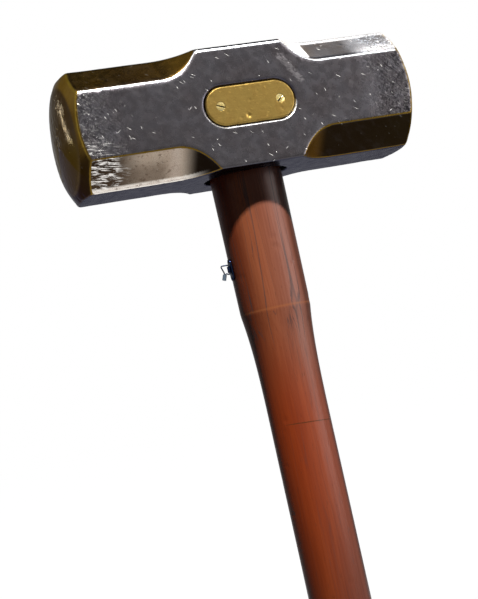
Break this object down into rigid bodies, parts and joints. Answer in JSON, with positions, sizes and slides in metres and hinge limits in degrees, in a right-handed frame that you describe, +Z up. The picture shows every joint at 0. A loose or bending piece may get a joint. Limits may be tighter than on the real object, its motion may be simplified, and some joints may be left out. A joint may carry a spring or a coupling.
{
  "type": "lump hammer",
  "caption": "Two-faced lump hammer with a forged octagonal head, a brass cheek plate, a wedged oval wooden handle and a small wire bail.",
  "frame": {"origin": "on the handle's axis in the plane of the head's underside, where a rack's two prongs carry the head", "axes": "+Z up the handle to the top of the head, +X along the head to the right when the brass plate faces the viewer, -Y out of the cheek with the brass plate"},
  "size_m": [0.135, 0.043, 0.263],
  "materials": {
    "forged_steel": "dark forged steel, bronze-tinted on the corner flats, bevels and faces",
    "lacquered_wood": "red-brown lacquer over straight grain",
    "wedge_wood": "bare end grain",
    "wedge_steel": "bright worn steel",
    "plate_brass": "aged satin brass",
    "screw_brass": "polished brass",
    "keeper_steel": "blued steel",
    "wire_steel": "dark spring wire",
    "sleeve_alloy": "pale crimped alloy"
  },
  "bodies": {
    "hammer": {"head": "forged_steel", "handle": "lacquered_wood", "wood_wedge": "wedge_wood", "steel_wedge_left": "wedge_steel", "steel_wedge_right": "wedge_steel", "brass_plate": "plate_brass", "plate_screw_left": "screw_brass", "plate_screw_right": "screw_brass", "keeper_plate": "keeper_steel", "keeper_pin_upper": "keeper_steel", "keeper_pin_lower": "keeper_steel"},
    "bail": {"wire_loop": "wire_steel", "crimp_sleeve": "sleeve_alloy"}
  },
  "joints": [
    {"name": "bail_swing", "type": "hinge", "parent": "hammer", "child": "bail", "pos_m": [-0.01435, 0, -0.03335], "axis": [0, 0, 1], "range_deg": [-85, 85]}
  ]
}
